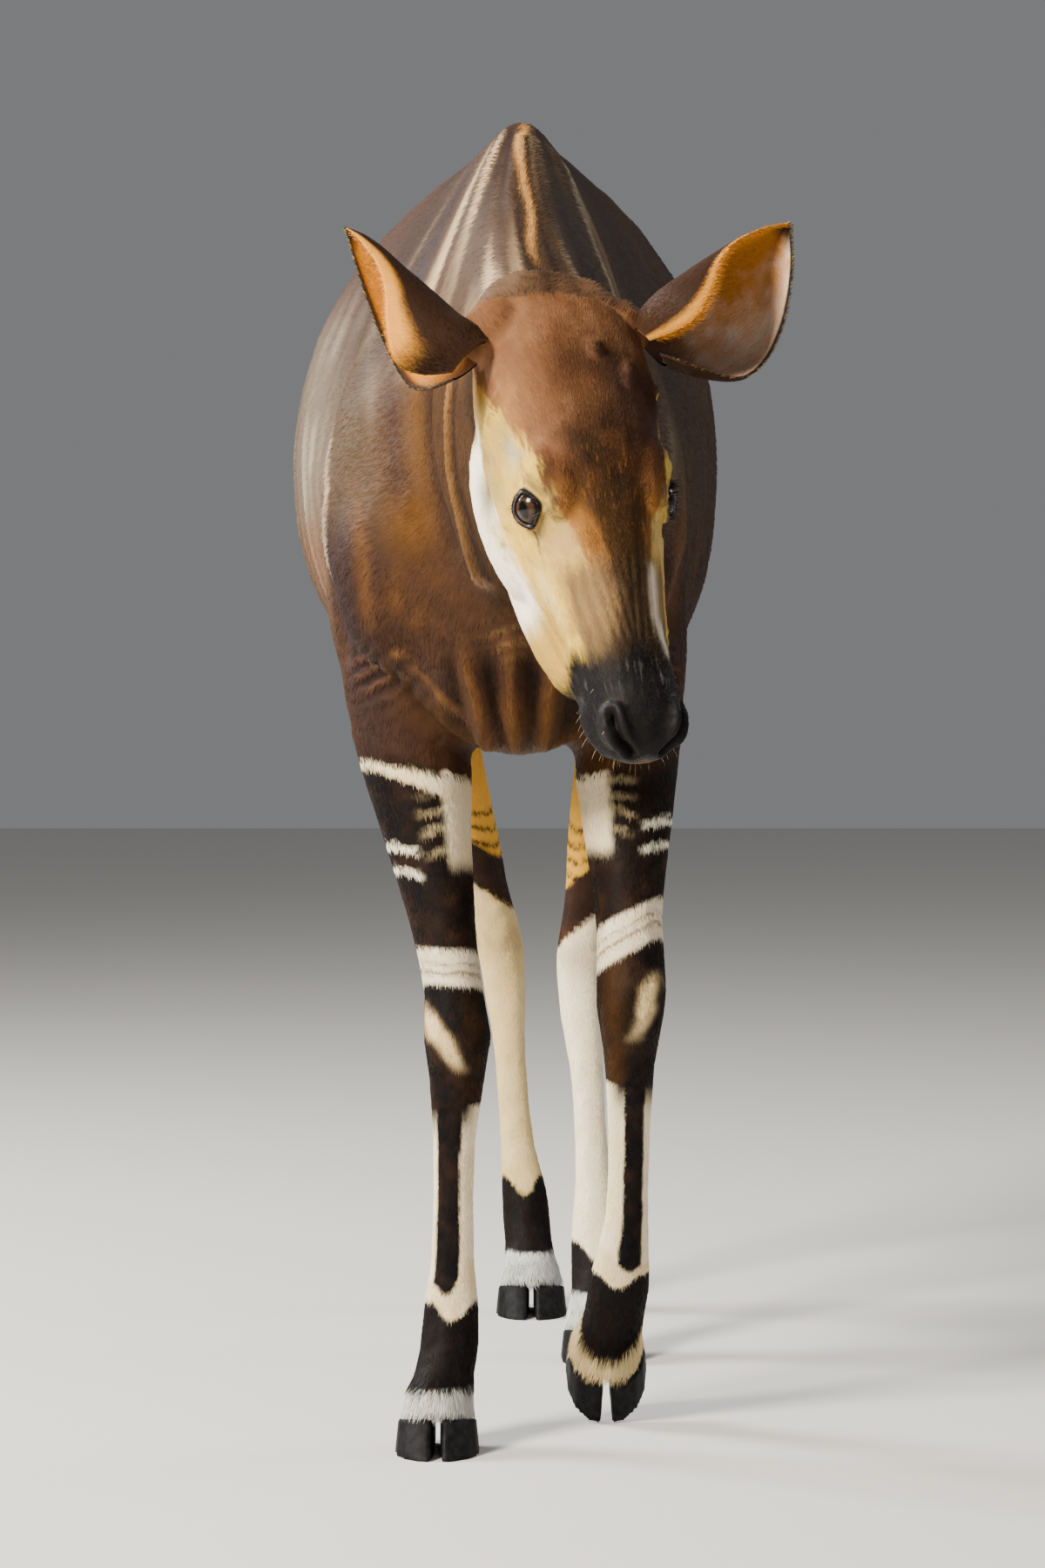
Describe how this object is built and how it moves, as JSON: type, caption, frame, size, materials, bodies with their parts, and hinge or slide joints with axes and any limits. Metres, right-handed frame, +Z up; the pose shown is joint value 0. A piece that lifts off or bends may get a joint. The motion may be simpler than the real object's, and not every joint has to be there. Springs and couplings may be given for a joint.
{
  "type": "okapi model",
  "caption": "Life-size still model of a walking okapi with a lowered head, dark brown coat, pale cheeks, banded and striped legs and cloven hoofs.",
  "frame": {"origin": "middle of the bounding box, on the floor the hoofs stand on", "axes": "the animal faces -Y, its left side is at +X, +Z is up"},
  "size_m": [0.5596, 2.034, 1.5073],
  "materials": {
    "coat_body": "short glossy hair",
    "coat_neck": "short glossy hair",
    "coat_face": "short hair",
    "coat_leg": "short hair",
    "coat_ear": "short hair",
    "coat_tail": "hair",
    "eye": "wet gloss",
    "horn": "satin horn"
  },
  "bodies": {
    "root": {"claw_fore_left_inner": "horn", "claw_fore_left_outer": "horn", "claw_fore_right_inner": "horn", "claw_fore_right_outer": "horn", "claw_hind_left_inner": "horn", "claw_hind_left_outer": "horn", "claw_hind_right_inner": "horn", "claw_hind_right_outer": "horn", "ear_left": "coat_ear", "ear_right": "coat_ear", "eye_left": "eye", "eye_right": "eye", "head": "coat_face", "leg_fore_left": "coat_leg", "leg_fore_right": "coat_leg", "leg_hind_left": "coat_leg", "leg_hind_right": "coat_leg", "neck": "coat_neck", "tail": "coat_tail", "torso": "coat_body"}
  },
  "joints": []
}
